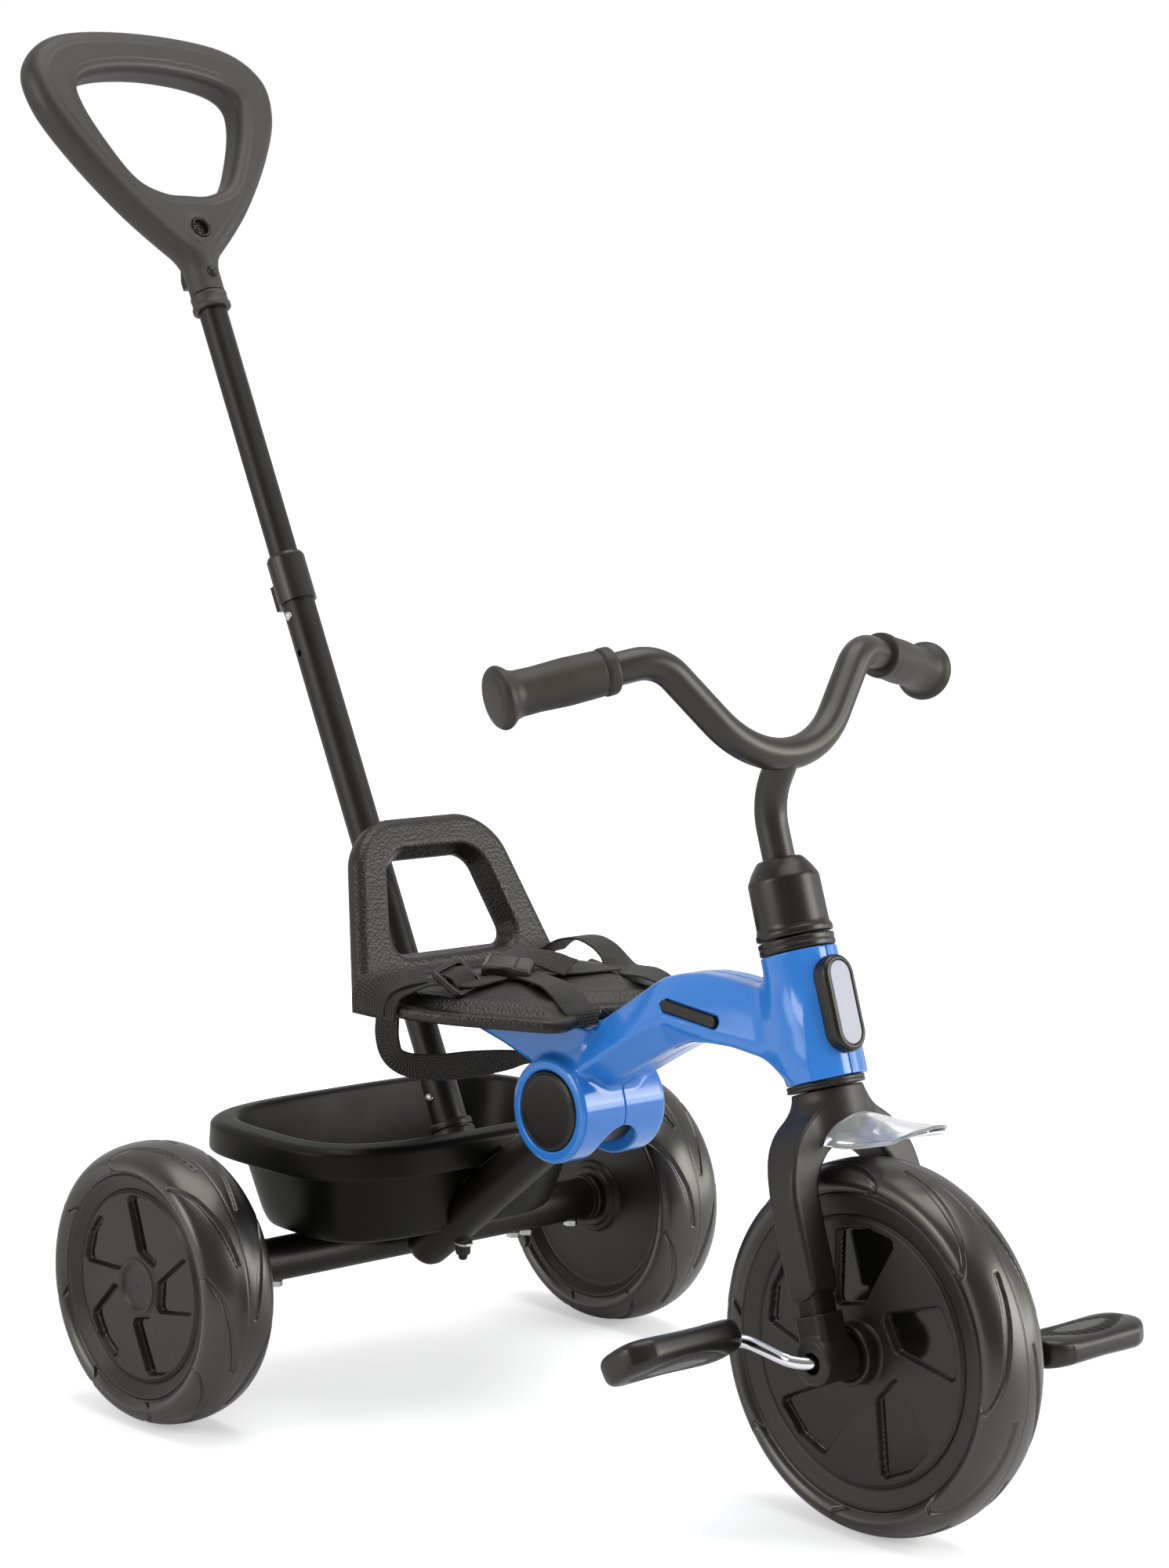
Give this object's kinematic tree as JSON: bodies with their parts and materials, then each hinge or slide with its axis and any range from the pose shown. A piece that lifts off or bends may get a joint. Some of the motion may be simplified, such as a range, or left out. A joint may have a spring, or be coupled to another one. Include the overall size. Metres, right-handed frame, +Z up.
{
  "type": "toddler push along trike",
  "caption": "Toddler trike with a moulded blue hump frame that folds at a drum hinge, pedalled front wheel, dipped handlebar, harness seat, rear basket and telescopic push bar.",
  "frame": {"origin": "middle of the box round the trike, on the ground", "axes": "+X forward, +Y to the rider's left, +Z up"},
  "size_m": [0.9708, 0.4966, 0.9989],
  "materials": {
    "frame_blue": "glossy moulded blue",
    "black_tube": "satin black powder coat",
    "graphite_tube": "satin graphite coat",
    "zinc": "zinc plated",
    "chrome": "bright chrome",
    "seat_plastic": "pebbled black",
    "basket_plastic": "smooth satin black",
    "rim_plastic": "glossy black",
    "trim_plastic": "fine satin black",
    "fork_plastic": "fine textured black",
    "handle_plastic": "fine textured charcoal",
    "tyre_foam": "satin black foam",
    "grip_rubber": "matte charcoal",
    "clear_plastic": "clear",
    "badge_silver": "pale silver",
    "webbing": "woven black"
  },
  "bodies": {
    "main_frame": {"frame_shell_right": "frame_blue", "frame_shell_left": "frame_blue", "hinge_cap_right": "trim_plastic", "hinge_cap_left": "trim_plastic", "side_insert_right": "trim_plastic", "side_insert_left": "trim_plastic", "headset_upper_ring": "trim_plastic", "headset_lower_ring": "trim_plastic", "badge_bezel": "trim_plastic", "badge_panel": "badge_silver", "fold_pin": "zinc", "seat": "seat_plastic", "seat_screws": "zinc", "harness_lap_right": "webbing", "harness_lap_left": "webbing", "harness_front_strap": "webbing", "harness_under_loop": "webbing", "harness_buckle": "trim_plastic", "harness_slider": "trim_plastic"},
    "rear_frame": {"fold_hub": "trim_plastic", "down_tube": "black_tube", "cross_tube": "black_tube", "bar_socket": "black_tube", "socket_collar": "trim_plastic", "basket": "basket_plastic", "basket_knob": "trim_plastic", "rear_axle": "zinc", "axle_screws": "zinc", "axle_collars": "trim_plastic", "bar_lower_tube": "black_tube", "bar_sleeve": "trim_plastic", "bar_rivets": "zinc"},
    "bar_button": {"sleeve_button": "trim_plastic"},
    "push_bar": {"bar_upper_tube": "black_tube", "push_handle": "handle_plastic", "handle_ring": "trim_plastic", "handle_screw": "trim_plastic", "handle_rivet": "trim_plastic", "bag_hook": "trim_plastic"},
    "rear_wheel_right": {"rear_tyre_right": "tyre_foam", "rear_rim_right": "rim_plastic"},
    "rear_wheel_left": {"rear_tyre_left": "tyre_foam", "rear_rim_left": "rim_plastic"},
    "steering": {"fork": "fork_plastic", "fork_blades": "black_tube", "knuckle_right": "fork_plastic", "knuckle_left": "fork_plastic", "fender": "clear_plastic", "steerer_tube": "black_tube", "stem_cap": "trim_plastic", "stem": "graphite_tube", "handlebar": "graphite_tube", "grip_right": "grip_rubber", "grip_left": "grip_rubber"},
    "front_wheel": {"front_tyre": "tyre_foam", "front_rim": "rim_plastic", "crank": "chrome"},
    "right_pedal": {"pedal_right": "trim_plastic"},
    "left_pedal": {"pedal_left": "trim_plastic"}
  },
  "joints": [
    {"name": "fold", "type": "hinge", "parent": "main_frame", "child": "rear_frame", "pos_m": [0.07722, 0, 0.2373], "axis": [0, -1, 0], "range_deg": [0, 65]},
    {"name": "steer", "type": "hinge", "parent": "main_frame", "child": "steering", "pos_m": [0.2888, 0, 0.33301], "axis": [-0.3256, 0, 0.9455], "range_deg": [-40, 40]},
    {"name": "front_wheel_spin", "type": "hinge", "parent": "steering", "child": "front_wheel", "pos_m": [0.36042, 0, 0.125], "axis": [0, 1, 0], "continuous": true},
    {"name": "pedal_right_spin", "type": "hinge", "parent": "front_wheel", "child": "right_pedal", "pos_m": [0.30286, -0.135, 0.13207], "axis": [0, 1, 0], "continuous": true},
    {"name": "pedal_left_spin", "type": "hinge", "parent": "front_wheel", "child": "left_pedal", "pos_m": [0.41799, 0.135, 0.11793], "axis": [0, 1, 0], "continuous": true},
    {"name": "rear_right_spin", "type": "hinge", "parent": "rear_frame", "child": "rear_wheel_right", "pos_m": [-0.12758, -0.219, 0.101], "axis": [0, 1, 0], "continuous": true},
    {"name": "rear_left_spin", "type": "hinge", "parent": "rear_frame", "child": "rear_wheel_left", "pos_m": [-0.12758, 0.219, 0.101], "axis": [0, 1, 0], "continuous": true},
    {"name": "bar_telescope", "type": "slide", "parent": "rear_frame", "child": "push_bar", "axis": [-0.4524, 0, 0.8918], "range_m": [-0.15, 0]},
    {"name": "sleeve_button_press", "type": "slide", "parent": "rear_frame", "child": "bar_button", "axis": [0.8918, 0, 0.4524], "range_m": [0, 0.002], "stiffness_N_per_m": 400}
  ]
}
